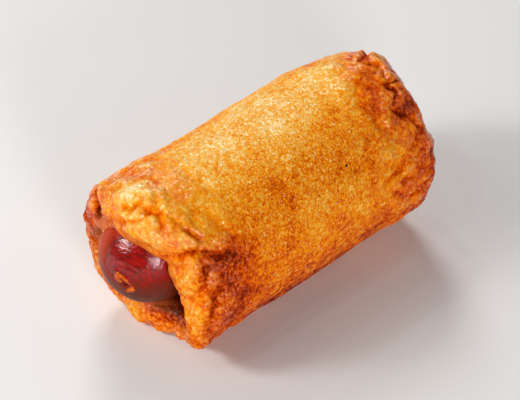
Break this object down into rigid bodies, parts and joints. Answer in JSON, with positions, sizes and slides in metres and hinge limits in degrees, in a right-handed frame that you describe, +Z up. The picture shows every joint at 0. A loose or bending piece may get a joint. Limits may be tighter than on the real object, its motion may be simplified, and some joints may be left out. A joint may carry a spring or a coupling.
{
  "type": "sausage roll",
  "caption": "Small sausage wrapped in a browned, puffed dough roll, its rounded end showing in a gathered lip with a pocket beneath.",
  "frame": {"origin": "on the surface the roll rests on, under the middle of its bounding box", "axes": "+X along the roll from the end where the sausage shows to the far end, +Z up"},
  "size_m": [0.0788, 0.0412, 0.04],
  "materials": {
    "browned_dough": "oily browned dough, golden on top and deep orange brown at the ends and in the creases",
    "sausage_skin": "glossy tight casing, deep red with a browner underside"
  },
  "bodies": {
    "root": {"crust": "browned_dough", "sausage": "sausage_skin"}
  },
  "joints": []
}
